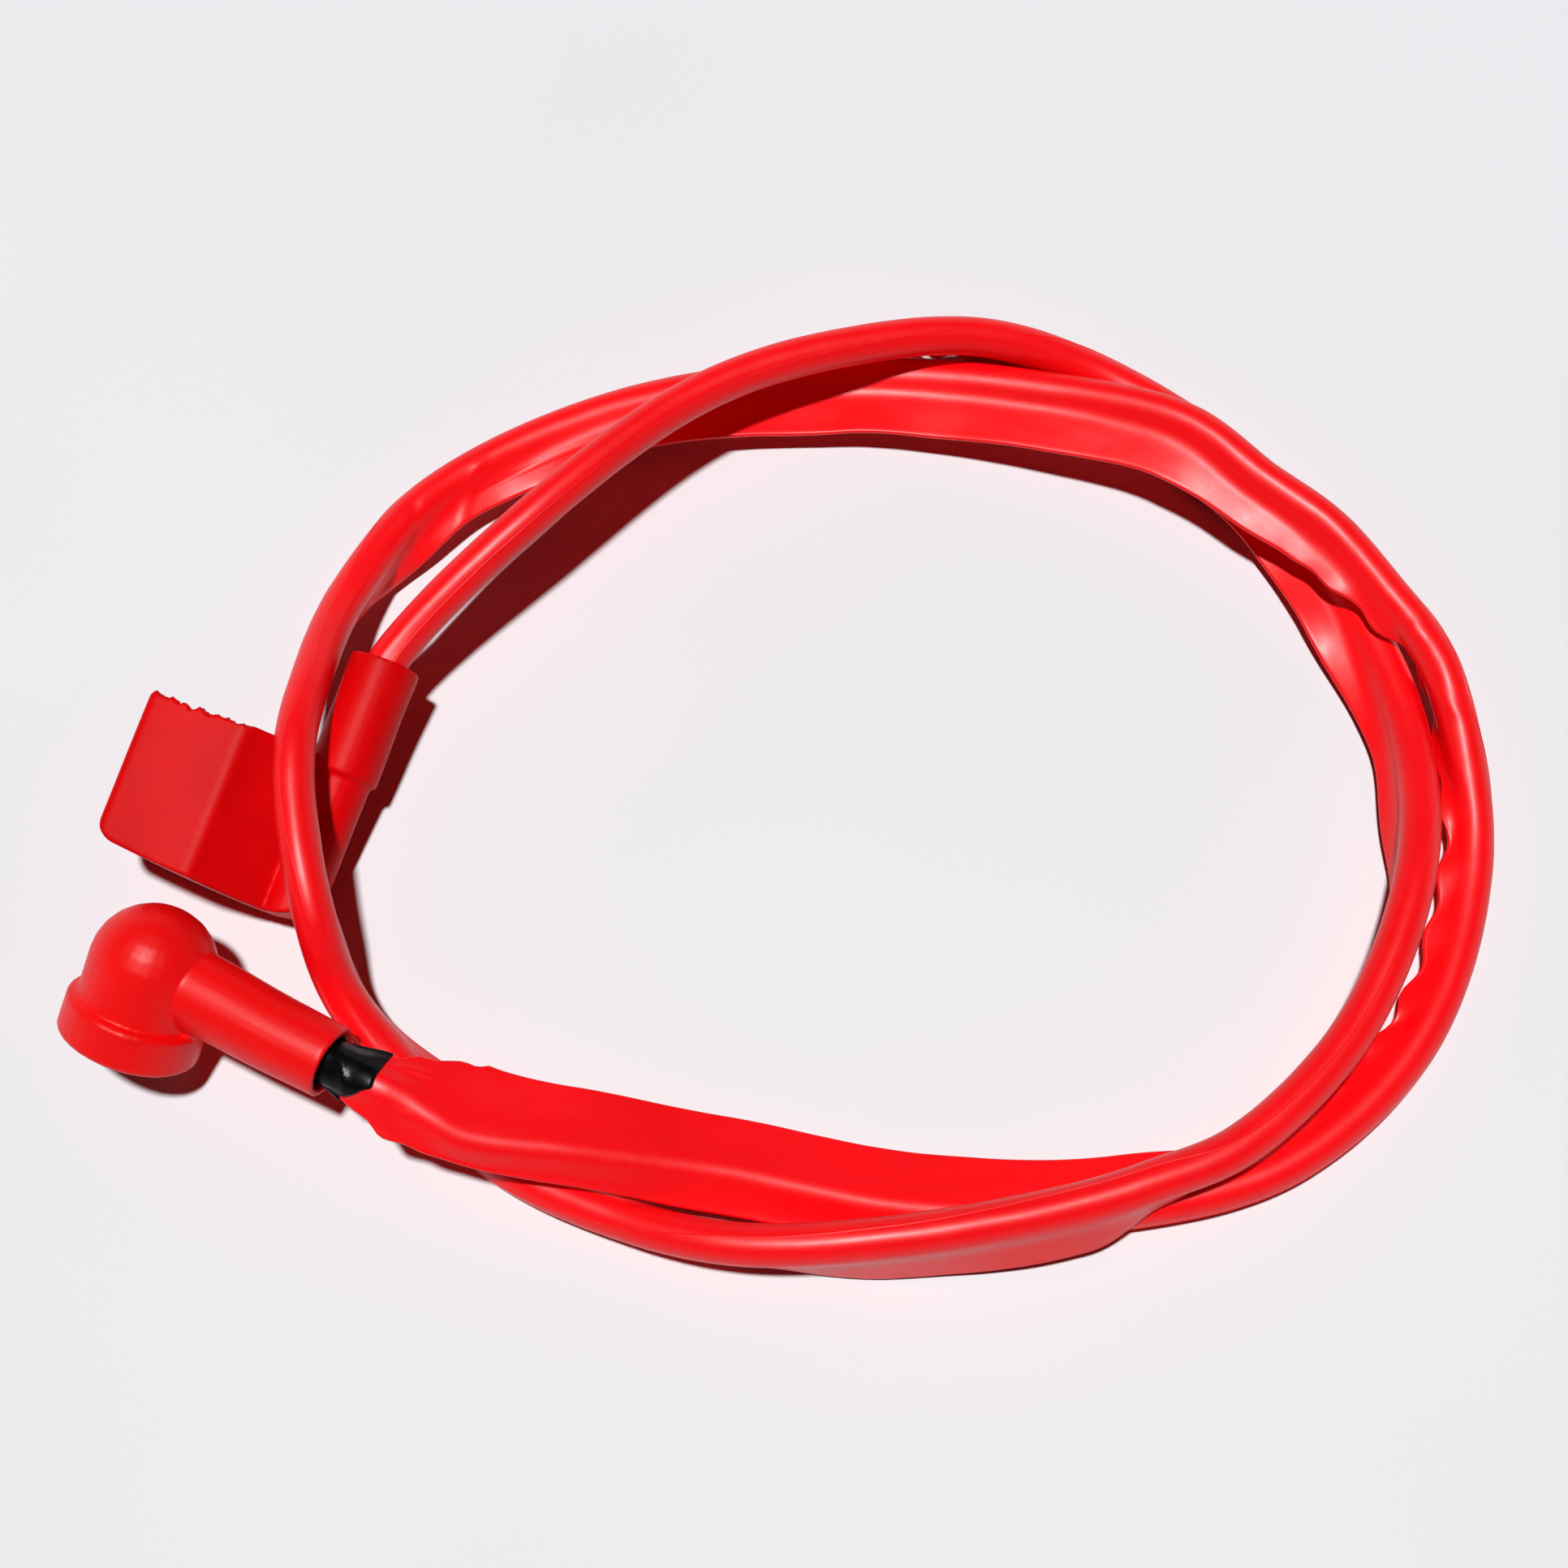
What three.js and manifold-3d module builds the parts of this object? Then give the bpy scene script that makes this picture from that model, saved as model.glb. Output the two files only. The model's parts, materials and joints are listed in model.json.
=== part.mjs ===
// Battery cable for a small vehicle, lying in a loose loop of about one and three quarter turns.
// A stranded copper lead runs inside a loose lay-flat sleeve. Its battery end has a lug inside a
// box-shaped terminal cover, and its starter end has a lug inside a domed right-angle boot, with
// black tape round the mouth of the boot.
// Millimetres, +Z up. The origin is the middle of the footprint, on the surface that it lies on.

import * as THREE from "three";
import { mergeVertices } from "three/addons/utils/BufferGeometryUtils.js";
import Module from "manifold-3d";

const wasm = await Module();
wasm.setup();

const up = new THREE.Vector3(0, 0, 1);
const rad = THREE.MathUtils.degToRad;

// Lead and sleeve
const conductorRadius = 1.5;
const insulationWall = 0.7;
const nestGap = 0.25; // between one layer of the lead and the next
const sleeveSlack = 0.46; // between the insulation and the sleeve where it wraps the wire
const sleeveWall = 0.4;
const sleeveSeam = 0.05; // half of the space left inside the flat fin's edge
const gatheredReach = 3.4; // from the wire's middle to the sleeve's edge where it is gathered
const flaredReach = 5; // the same, at the tape's end, where the sleeve spreads again
const stationSpacing = 12; // along the lead, between two sections of the loft
const straightOut = 8; // the stretch at each mouth where the lead is still straight

const insulationBore = conductorRadius + nestGap;
const wireRadius = insulationBore + insulationWall;
const sleeveBore = wireRadius + sleeveSlack;
const sleeveRadius = sleeveBore + sleeveWall;

// Tape round the sleeve's end
const tapeWall = 0.4;
const tapeShown = 6.5; // outside the boot
const tapeHidden = 5; // inside the boot
const sleeveIntoBoot = 3;
const sleeveIntoCollar = 10;

// Crimped lugs, shared by both ends
const lugWall = 1.0;
const barrelLength = 9;
const barrelGrip = 8; // length of bare conductor in the barrel
const tongueThickness = 1.6;
const eyeRadius = 5.6;
const studHoleRadius = 3.1;

const barrelBore = conductorRadius + nestGap;
const barrelRadius = barrelBore + lugWall;

// Terminal cover: a box for the battery post, a sloping shoulder and a cable tube with a collar
const coverWall = 1.3;
const boxWidth = 16.8;
const boxHeight = 19.7;
const hoodLength = 23.6; // from the closed end to the torn mouth
const closedEndBow = 2.5; // how far the closed end bulges
const closedEndCorner = 3; // rounding at the closed end's corners
const hoodCorner = 1.4; // rounding along the box's long edges
const tubeCentreX = 29.9; // across, from the box's outer side
const tubeCentreZ = 5.9;
const tubeRadius = 4.9;
const shoulderMeets = 130; // where the sloping shoulder runs into the tube, in degrees
const collarRadius = 5.7;
const sleeveFit = 0.3; // between the gathered sleeve and the tube
const collarStart = 21.8;
const collarEnd = 41.5;
const tubeBore = gatheredReach + sleeveFit;
const pocketDepthBehindTube = 16.5; // length over which the pocket and the tube are one space
const coverPlace = [-107.25, -10.99, 0.1]; // lower outer corner of the closed end
const coverYaw = -20.2;
const coverPitch = 11.3; // the stiff lead lifts the mouth

// Elbow boot: a dome with a flanged mouth and a spout at a right angle
const domeRadius = 9.75;
const bootWall = 1.5;
const flangeRadius = 11.1;
const flangeHeight = 6.6;
const capDepth = 13.5; // from the dome's centre to the mouth
const spoutRootRadius = 6.5;
const spoutMouthRadius = 5.8;
const spoutReach = 32.5; // from the dome's axis
const spoutDrop = 0.5; // spout's axis below the dome's centre
const bootPlace = [-98.0, -35.8, 16.7]; // the dome's centre
const bootHeading = -27.9;
const bootRise = 2;
const bootLean = -54.3; // of the cap's axis from upright
const bootFit = 0.45; // between the tape and the spout

const batteryLugY = 5.5; // the battery lug's barrel starts here, along the tube
const starterLugX = 7; // the starter lug's barrel starts here, along the spout

// Sides and steps of the rounded shapes
const wireSides = 8;
const bulgeSteps = 5; // over the wire, in each half of the sleeve's section
const justOver = 1.001; // keeps a folded edge outside the round part
const lugSides = 16;
const eyeSteps = 10;
const hoodSteps = 6;
const planSteps = 5;
const boreSides = 24;
const tubeSides = 28;
const domeSides = 32;
const domeSteps = 7;
const divisionsPerPoint = 40; // for measuring along the route
const pastCut = 2; // how far a cutting solid runs past what it cuts

// Colours, with roughness and metalness
const finishes = {
  sleeve: { color: 0xe3101a, roughness: 0.22, metalness: 0 },
  insulation: { color: 0xb01218, roughness: 0.5, metalness: 0 },
  copper: { color: 0xc0744a, roughness: 0.35, metalness: 1 },
  lug: { color: 0xc9c9c6, roughness: 0.3, metalness: 1 },
  tape: { color: 0x0c0c0d, roughness: 0.4, metalness: 0 },
  cover: { color: 0xc4141a, roughness: 0.55, metalness: 0 },
  boot: { color: 0xd8171b, roughness: 0.5, metalness: 0 },
};

// The lead's free run, from the cover's collar round the loop to the tape. Each entry is the
// wire's centre, then how the flat sleeve lies there: the turn of its fin in degrees (0 points to
// the loop's inside, 90 up), the fin's reach from the wire and the reach of its other edge.
const freeRun = [
  [-43.0, 38.5, 20.4, -125, 9.5, 3.4],
  [-14.6, 63.3, 18.4, -130, 11.5, 3.4],
  [10.1, 73.5, 15.8, -124, 12, 3.4],
  [33.8, 77.5, 11.6, -98, 10, 3.4],
  [55.4, 72.9, 5.0, -25, 9, 3.4],
  [78.8, 55.5, 3.7, -2, 9.8, 3.4],
  [94.1, 30.4, 3.7, 0, 9.6, 3.4],
  [100.7, 4.4, 6.4, -34, 6.9, 3.4],
  [97.5, -20.5, 12.2, -85, 10, 3.4],
  [85.5, -45.6, 12.8, -90, 9.6, 3.4],
  [67.6, -62.8, 13.2, -95, 5.2, 3.4],
  [54.7, -68.2, 13.2, -124, 6, 3.4],
  [42.8, -71.8, 12.8, -126, 10.4, 3.4],
  [14.8, -76.6, 11.9, -110, 11.5, 3.4],
  [-9.4, -77.0, 9.3, -98, 8.4, 3.4],
  [-29.2, -71.3, 5.0, -48, 6.2, 3.4],
  [-45.9, -62.7, 4.0, -8, 8.5, 3.4],
  [-68.7, -40.3, 10.6, -38, 4.6, 3.4],
  [-73.5, -28.0, 20.0, -80, 7.5, 3.4],
  [-77.0, -10.6, 23.2, -55, 5, 3.4],
  [-77.4, -1.2, 23.2, -68, 3.9, 3.4],
  [-76.8, 8.1, 20.2, -100, 6, 3.4],
  [-73.1, 30.1, 10.0, -84, 6.8, 3.4],
  [-60.6, 50.6, 5.6, -6, 7.4, 3.4],
  [-30.2, 67.8, 4.2, 12, 10, 3.4],
  [7.6, 74.3, 4.0, 6, 11.9, 3.4],
  [43.6, 69.2, 8.1, 2, 11.8, 3.4],
  [66.3, 61.0, 11.9, -5, 11.2, 3.4],
  [78.7, 50.2, 11.8, -6, 9.2, 3.4],
  [89.1, 41.9, 11.2, -8, 8.5, 3.4],
  [98.5, 29.4, 10.4, -4, 5.6, 3.4],
  [103.3, 22.2, 9.9, -20, 3.6, 3.4],
  [106.7, 14.9, 8.4, -60, 4.2, 3.4],
  [109.5, -12.9, 3.9, 15, 5.2, 3.4],
  [98.7, -43.1, 3.6, 5, 5.5, 3.4],
  [76.6, -63.4, 3.6, 0, 6, 3.4],
  [50.0, -70.6, 3.6, 0, 8.3, 3.4],
  [19.0, -70.7, 3.8, 3, 8.6, 6],
  [-12.1, -65.5, 7.0, 4, 8.6, 6.4],
  [-34.1, -63.5, 11.7, 5, 9.8, 5.2],
  [-49.7, -61.8, 14.6, 5, 11.3, 4.3],
  [-54.2, -59.4, 15.8, 3, 9.9, 5.4],
  [-58.6, -56.8, 16.9, 0, 7.2, 6.6],
];

// Where the two ends sit. In the cover's own axes X runs across from the box, Y from the closed
// end to the mouth and Z up. In the boot's, X runs out along the spout and Z up through the dome.
const cover = new THREE.Group();
cover.position.set(...coverPlace);
cover.rotation.set(rad(coverPitch), 0, rad(coverYaw), "ZXY");
cover.updateMatrixWorld();

const boot = new THREE.Group();
boot.position.set(...bootPlace);
boot.rotation.set(rad(bootLean), rad(-bootRise), rad(bootHeading), "ZYX");
boot.updateMatrixWorld();

const onTube = (y) => cover.localToWorld(new THREE.Vector3(tubeCentreX, y, tubeCentreZ));
const onSpout = (x) => boot.localToWorld(new THREE.Vector3(x, 0, -spoutDrop));
const toTube = (geometry) => geometry.translate(tubeCentreX, 0, tubeCentreZ);
const toSpout = (geometry) => geometry.rotateZ(-Math.PI / 2).translate(0, 0, -spoutDrop);

const batteryEnd = batteryLugY + barrelLength - barrelGrip;
const starterEnd = starterLugX + barrelLength - barrelGrip;

// The whole route, end to end, with the sleeve's lie at each point
const firstLie = freeRun[0][3];
const lastLie = freeRun[freeRun.length - 1][3];
const tubePoints = [batteryEnd, collarStart, collarEnd - straightOut, collarEnd].map(onTube);
const spoutPoints = [spoutReach + straightOut, spoutReach, spoutReach - straightOut, starterEnd].map(onSpout);
const routePoints = [
  ...tubePoints,
  ...freeRun.map(([x, y, z]) => new THREE.Vector3(x, y, z)),
  ...spoutPoints,
];
const lies = [
  ...tubePoints.map(() => [firstLie, gatheredReach, gatheredReach]),
  ...freeRun.map(([, , , ...lie]) => lie),
  [lastLie, flaredReach, flaredReach],
  ...spoutPoints.slice(1).map(() => [lastLie, gatheredReach, gatheredReach]),
];
const route = new THREE.CatmullRomCurve3(routePoints, false, "centripetal");
route.arcLengthDivisions = divisionsPerPoint * routePoints.length;
const routeLength = route.getLength();
const barrelToCollar = collarEnd - batteryEnd;
const mouthDistance = routeLength - (spoutReach - starterEnd);

// One section of the lead, at a distance along it
function stationAt(distance) {
  const share = distance / routeLength;
  const centre = route.getPointAt(share);
  const along = route.getTangentAt(share);
  const inward = new THREE.Vector3().crossVectors(along, up).normalize();
  const lift = new THREE.Vector3().crossVectors(inward, along);
  const place = route.getUtoTmapping(share) * (lies.length - 1);
  const before = Math.min(Math.floor(place), lies.length - 2);
  const blend = THREE.MathUtils.smoothstep(place - before, 0, 1);
  const [turn, finReach, heelReach] = lies[before].map((value, i) =>
    THREE.MathUtils.lerp(value, lies[before + 1][i], blend),
  );
  const finward = inward.clone().multiplyScalar(Math.cos(rad(turn)));
  finward.addScaledVector(lift, Math.sin(rad(turn)));
  const upright = lift.clone().multiplyScalar(Math.cos(rad(turn)));
  upright.addScaledVector(inward, -Math.sin(rad(turn)));
  const place3d = ([a, b]) => centre.clone().addScaledVector(finward, a).addScaledVector(upright, b);
  return { finReach, heelReach, place: place3d };
}

// Sections from one distance to another, on the spacing that every layer shares
function stationsBetween(from, to) {
  const shared = [barrelToCollar, mouthDistance - tapeShown, mouthDistance];
  for (let distance = stationSpacing; distance < routeLength; distance += stationSpacing) {
    if (shared.every((mark) => Math.abs(mark - distance) > nestGap)) shared.push(distance);
  }
  const inside = shared.filter((distance) => distance > from + nestGap && distance < to - nestGap);
  return [from, ...inside.sort((a, b) => a - b), to].map(stationAt);
}

// Outlines in a section's own plane, anticlockwise
function roundOutline(radius) {
  return Array.from({ length: wireSides }, (_, i) => {
    const angle = (2 * Math.PI * i) / wireSides;
    return [radius * Math.cos(angle), radius * Math.sin(angle)];
  });
}

// A lay-flat sleeve: round over the wire, then straight on both sides to two folded edges
function sleeveOutline(radius, finReach, heelReach, edgeHalf) {
  const flank = (reach) => {
    const far = Math.max(Math.hypot(reach, edgeHalf), radius * justOver);
    const slant = Math.atan2(edgeHalf, reach);
    return { far, slant, touch: slant + Math.acos(radius / far) };
  };
  const fin = flank(finReach);
  const heel = flank(heelReach);
  const arc = Math.PI - fin.touch - heel.touch;
  const pointOn = (angle, distance) => [distance * Math.cos(angle), distance * Math.sin(angle)];
  const bulge = Array.from({ length: bulgeSteps + 1 }, (_, i) =>
    pointOn(fin.touch + (arc * i) / bulgeSteps, radius),
  );
  const finEdge = pointOn(fin.slant, fin.far);
  const heelEdge = pointOn(Math.PI - heel.slant, heel.far);
  const upper = [finEdge, ...bulge, heelEdge];
  const lower = upper.map(([a, b]) => [a, -b]).reverse();
  return [...upper, ...lower];
}

// A closed solid through a row of sections: hollow where a bore outline is given
function loft(stations, outlineAt, boreAt) {
  const vertices = [];
  const faces = [];
  const addRing = (station, outline) => {
    const first = vertices.length / 3;
    outline.forEach((point) => vertices.push(...station.place(point).toArray()));
    return first;
  };
  const quad = (a, b, c, d) => faces.push(a, b, c, a, c, d);
  const outer = stations.map((station) => addRing(station, outlineAt(station)));
  const inner = boreAt ? stations.map((station) => addRing(station, boreAt(station))) : [];
  const sides = outlineAt(stations[0]).length;
  const last = stations.length - 1;
  const hubs = boreAt ? [] : [stations[0], stations[last]].map((station) => addRing(station, [[0, 0]]));
  for (let i = 0; i < sides; i++) {
    const j = (i + 1) % sides;
    for (let k = 0; k < last; k++) {
      quad(outer[k] + i, outer[k + 1] + i, outer[k + 1] + j, outer[k] + j);
      if (boreAt) quad(inner[k] + i, inner[k] + j, inner[k + 1] + j, inner[k + 1] + i);
    }
    if (boreAt) {
      quad(outer[0] + i, outer[0] + j, inner[0] + j, inner[0] + i);
      quad(outer[last] + j, outer[last] + i, inner[last] + i, inner[last] + j);
    } else {
      faces.push(hubs[0], outer[0] + i, outer[0] + j);
      faces.push(hubs[1], outer[last] + j, outer[last] + i);
    }
  }
  const geometry = new THREE.BufferGeometry();
  geometry.setAttribute("position", new THREE.Float32BufferAttribute(vertices, 3));
  geometry.setIndex(faces);
  geometry.computeVertexNormals();
  return geometry;
}

// Solids that are joined and cut
function solid(geometry) {
  const bare = geometry.clone();
  bare.deleteAttribute("normal");
  bare.deleteAttribute("uv");
  const merged = mergeVertices(bare, 1e-4);
  const vertProperties = merged.attributes.position.array;
  const triVerts = new Uint32Array(merged.index.array);
  return new wasm.Manifold(new wasm.Mesh({ numProp: 3, vertProperties, triVerts }));
}

function geometryOf(made) {
  const mesh = made.getMesh();
  const geometry = new THREE.BufferGeometry();
  geometry.setAttribute("position", new THREE.BufferAttribute(mesh.vertProperties, 3));
  geometry.setIndex(new THREE.BufferAttribute(mesh.triVerts, 1));
  geometry.computeVertexNormals();
  return geometry;
}

function piece(name, geometry, finish) {
  const mesh = new THREE.Mesh(geometry, new THREE.MeshStandardMaterial(finish));
  mesh.name = name;
  return mesh;
}

// A cylinder or cone along Y from one place to another
function rod(startRadius, endRadius, start, end, sides) {
  const geometry = new THREE.CylinderGeometry(endRadius, startRadius, end - start, sides);
  return geometry.translate(0, (start + end) / 2, 0);
}

// A polygon drawn in X and Z, carried along Y
function alongY(shape, start, end, curveSegments) {
  const geometry = new THREE.ExtrudeGeometry(shape, { depth: end - start, bevelEnabled: false, curveSegments });
  return geometry.rotateX(Math.PI / 2).translate(0, end, 0);
}

// A polygon drawn in X and Y, carried up Z
function alongZ(shape, start, end, curveSegments) {
  const geometry = new THREE.ExtrudeGeometry(shape, { depth: end - start, bevelEnabled: false, curveSegments });
  return geometry.translate(0, 0, start);
}

// The lead: copper, insulation and sleeve, each its own layer on the same route
function copperConductor() {
  const stations = stationsBetween(0, routeLength);
  return loft(stations, () => roundOutline(conductorRadius));
}

function wireInsulation() {
  const stations = stationsBetween(barrelGrip + nestGap, routeLength - barrelGrip - nestGap);
  return loft(stations, () => roundOutline(wireRadius), () => roundOutline(insulationBore));
}

function sleeve() {
  const stations = stationsBetween(barrelToCollar - sleeveIntoCollar, mouthDistance + sleeveIntoBoot);
  return loft(
    stations,
    ({ finReach, heelReach }) => sleeveOutline(sleeveRadius, finReach, heelReach, sleeveWall),
    ({ finReach, heelReach }) =>
      sleeveOutline(sleeveBore, finReach - sleeveWall, heelReach - sleeveWall, sleeveSeam),
  );
}

function tapeBand() {
  const grown = (by) => ({ finReach, heelReach }) =>
    sleeveOutline(sleeveRadius + by, finReach + by, heelReach + by, sleeveWall + by);
  const stations = stationsBetween(mouthDistance - tapeShown, mouthDistance + tapeHidden);
  return loft(stations, grown(nestGap + tapeWall), grown(nestGap));
}

// Crimp lugs: a barrel over the conductor and a tongue with an eye
function batteryTerminal() {
  const barrelEnd = batteryLugY + barrelLength;
  const barrel = solid(toTube(rod(barrelRadius, barrelRadius, batteryLugY, barrelEnd, lugSides)));
  const bore = solid(toTube(rod(barrelBore, barrelBore, batteryEnd - nestGap, barrelEnd + pastCut, lugSides)));
  const eyeX = boxWidth / 2;
  const eyeY = hoodLength / 2;
  const tongueY = batteryLugY + barrelLength / 2;
  const tongue = new THREE.Shape();
  tongue.absarc(eyeX, eyeY, eyeRadius, Math.PI / 2, (3 * Math.PI) / 2, false);
  tongue.lineTo(tubeCentreX, tongueY - tongueThickness * 2);
  tongue.lineTo(tubeCentreX, tongueY + tongueThickness * 2);
  tongue.closePath();
  const hole = new THREE.Path();
  hole.absarc(eyeX, eyeY, studHoleRadius, 0, 2 * Math.PI, true);
  tongue.holes.push(hole);
  const plateTop = tubeCentreZ - barrelBore;
  const plate = solid(alongZ(tongue, plateTop - tongueThickness, plateTop, eyeSteps));
  return geometryOf(barrel.add(plate).subtract(bore));
}

function starterTerminal() {
  const barrelEnd = starterLugX + barrelLength;
  const barrel = solid(toSpout(rod(barrelRadius, barrelRadius, starterLugX, barrelEnd, lugSides)));
  const bore = solid(toSpout(rod(barrelBore, barrelBore, starterEnd - nestGap, barrelEnd + pastCut, lugSides)));
  const eye = new THREE.Shape();
  eye.absarc(0, 0, eyeRadius, Math.PI / 3, (5 * Math.PI) / 3, false);
  eye.lineTo(starterLugX + lugWall, -barrelBore);
  eye.lineTo(starterLugX + lugWall, barrelBore);
  eye.closePath();
  const hole = new THREE.Path();
  hole.absarc(0, 0, studHoleRadius, 0, 2 * Math.PI, true);
  eye.holes.push(hole);
  const plateTop = -spoutDrop - barrelBore;
  const plate = solid(alongZ(eye, plateTop - tongueThickness, plateTop, eyeSteps));
  return geometryOf(barrel.add(plate).subtract(bore));
}

// The cover's outline seen from its mouth, drawn in by an inset for the pocket inside
function hoodProfile(inset) {
  const ring = tubeRadius - inset;
  const top = boxHeight - inset;
  const right = boxWidth - inset;
  const outline = new THREE.Shape();
  outline.moveTo(inset, inset);
  outline.lineTo(inset, top - hoodCorner);
  outline.quadraticCurveTo(inset, top, inset + hoodCorner, top);
  outline.lineTo(right - hoodCorner, top);
  outline.quadraticCurveTo(right, top, right + hoodCorner / 2, top - hoodCorner / 2);
  outline.absarc(tubeCentreX, tubeCentreZ, ring, rad(shoulderMeets), -Math.PI / 2, true);
  outline.closePath();
  return outline;
}

// The cover's outline seen from above: a bowed closed end with rounded corners
function hoodPlan(inset, far) {
  const right = tubeCentreX + tubeRadius - inset;
  const bow = inset - closedEndBow;
  const outline = new THREE.Shape();
  outline.moveTo(inset, far);
  outline.lineTo(inset, inset + closedEndCorner);
  outline.quadraticCurveTo(inset, inset, inset + closedEndCorner, inset + bow / closedEndCorner);
  outline.quadraticCurveTo(boxWidth, bow, tubeCentreX - closedEndCorner, bow);
  outline.quadraticCurveTo(right, bow, right, inset + 2 * closedEndCorner);
  outline.lineTo(right, far);
  outline.closePath();
  return outline;
}

// The space between the cover's plan and profile, both drawn in by the same inset
function hoodSpace(inset, far) {
  const low = -closedEndBow - pastCut;
  const section = solid(alongY(hoodProfile(inset), low, far, hoodSteps));
  const plan = solid(alongZ(hoodPlan(inset, far + pastCut), -pastCut, boxHeight + pastCut, planSteps));
  return section.intersect(plan);
}

function terminalCover() {
  const shell = hoodSpace(0, hoodLength);
  const pocket = hoodSpace(coverWall, hoodLength + pastCut);
  const webStart = tubeCentreX - tubeRadius - coverWall / 2;
  const webWidth = 2 * (tubeRadius + pastCut);
  const webLength = hoodLength + 2 * pastCut - pocketDepthBehindTube;
  const web = new THREE.BoxGeometry(webWidth, webLength, 2 * boxHeight);
  web.translate(webStart + webWidth / 2, pocketDepthBehindTube + webLength / 2, 0);
  const collar = solid(toTube(rod(collarRadius, collarRadius, collarStart, collarEnd, tubeSides)));
  const bore = solid(toTube(rod(tubeBore, tubeBore, batteryEnd, collarEnd + pastCut, boreSides)));
  return geometryOf(shell.add(collar).subtract(pocket.subtract(solid(web))).subtract(bore));
}

// A profile of radius and height, turned about Z
function turned(profile, sides) {
  const points = profile.map(([radius, height]) => new THREE.Vector2(radius, height));
  return new THREE.LatheGeometry(points, sides).rotateX(Math.PI / 2);
}

function domeProfile(radius) {
  return Array.from({ length: domeSteps + 1 }, (_, i) => {
    const angle = (Math.PI / 2) * (i / domeSteps);
    return [i === domeSteps ? 0 : radius * Math.cos(angle), radius * Math.sin(angle)];
  });
}

function elbowBoot() {
  const inner = domeRadius - bootWall;
  const flangeTop = flangeHeight - capDepth;
  const lip = bootWall / 3;
  const outside = turned(
    [
      [0, -capDepth],
      [flangeRadius - lip, -capDepth],
      [flangeRadius, lip - capDepth],
      [flangeRadius, flangeTop - lip],
      [flangeRadius - lip, flangeTop],
      [domeRadius, flangeTop],
      ...domeProfile(domeRadius),
    ],
    domeSides,
  );
  const inside = turned(
    [
      [0, -capDepth - pastCut],
      [flangeRadius - bootWall, -capDepth - pastCut],
      [flangeRadius - bootWall, flangeTop - bootWall],
      [inner, flangeTop],
      ...domeProfile(inner),
    ],
    domeSides,
  );
  const spout = toSpout(rod(spoutRootRadius, spoutMouthRadius, 0, spoutReach, tubeSides));
  const boreRadius = gatheredReach + nestGap + tapeWall + bootFit;
  const bore = toSpout(rod(boreRadius, boreRadius, 0, spoutReach + pastCut, boreSides));
  return geometryOf(solid(outside).add(solid(spout)).subtract(solid(inside)).subtract(solid(bore)));
}

cover.add(piece("terminal_cover", terminalCover(), finishes.cover));
cover.add(piece("battery_terminal", batteryTerminal(), finishes.lug));
boot.add(piece("elbow_boot", elbowBoot(), finishes.boot));
boot.add(piece("starter_terminal", starterTerminal(), finishes.lug));

const batteryCable = new THREE.Group();
batteryCable.add(cover, boot);
batteryCable.add(piece("copper_conductor", copperConductor(), finishes.copper));
batteryCable.add(piece("wire_insulation", wireInsulation(), finishes.insulation));
batteryCable.add(piece("sleeve", sleeve(), finishes.sleeve));
batteryCable.add(piece("tape_band", tapeBand(), finishes.tape));

export default batteryCable;
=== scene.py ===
import json
import math
import bmesh
import bpy
from mathutils import Matrix, Vector, noise

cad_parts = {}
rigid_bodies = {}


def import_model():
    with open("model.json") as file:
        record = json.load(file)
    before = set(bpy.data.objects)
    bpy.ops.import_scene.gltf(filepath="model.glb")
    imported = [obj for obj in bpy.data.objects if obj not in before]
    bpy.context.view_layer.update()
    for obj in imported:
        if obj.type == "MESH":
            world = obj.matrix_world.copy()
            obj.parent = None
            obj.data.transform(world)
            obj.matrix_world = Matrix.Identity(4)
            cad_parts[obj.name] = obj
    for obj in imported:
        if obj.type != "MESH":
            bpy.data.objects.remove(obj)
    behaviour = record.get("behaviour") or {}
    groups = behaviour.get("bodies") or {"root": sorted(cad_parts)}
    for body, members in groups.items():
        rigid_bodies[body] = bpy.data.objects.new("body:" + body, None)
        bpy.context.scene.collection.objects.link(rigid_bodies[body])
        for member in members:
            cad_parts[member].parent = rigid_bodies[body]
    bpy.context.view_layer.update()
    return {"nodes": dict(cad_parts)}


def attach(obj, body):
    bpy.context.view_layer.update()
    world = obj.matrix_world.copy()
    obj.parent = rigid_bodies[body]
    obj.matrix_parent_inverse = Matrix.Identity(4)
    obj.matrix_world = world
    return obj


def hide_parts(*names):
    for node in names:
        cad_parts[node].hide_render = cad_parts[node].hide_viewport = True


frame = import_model()
mm = 0.001
floorGap = 0.1 * mm  # soft pieces stay this far above the floor
print("frame loaded:", sorted(frame["nodes"]))


# Camera: seen from above and in front, as the cable was photographed
cameraSetup = {
    "target": (-1.4 * mm, 0.4 * mm, 0.0),
    "distance": 420 * mm,
    "elevation": 69,
    "lens": 58.696,
    "sensor": 36,
}


def addCamera(setup):
    tilt = math.radians(setup["elevation"])
    away = Vector((0, -math.cos(tilt), math.sin(tilt))) * setup["distance"]
    bpy.ops.object.camera_add(
        location=Vector(setup["target"]) + away,
        rotation=(math.pi / 2 - tilt, 0, 0),
    )
    camera = bpy.context.object
    camera.name = "photoCamera"
    camera.data.lens = setup["lens"]
    camera.data.sensor_width = setup["sensor"]
    camera.data.clip_start = 0.01
    bpy.context.scene.camera = camera


addCamera(cameraSetup)
print("camera placed")


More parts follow.
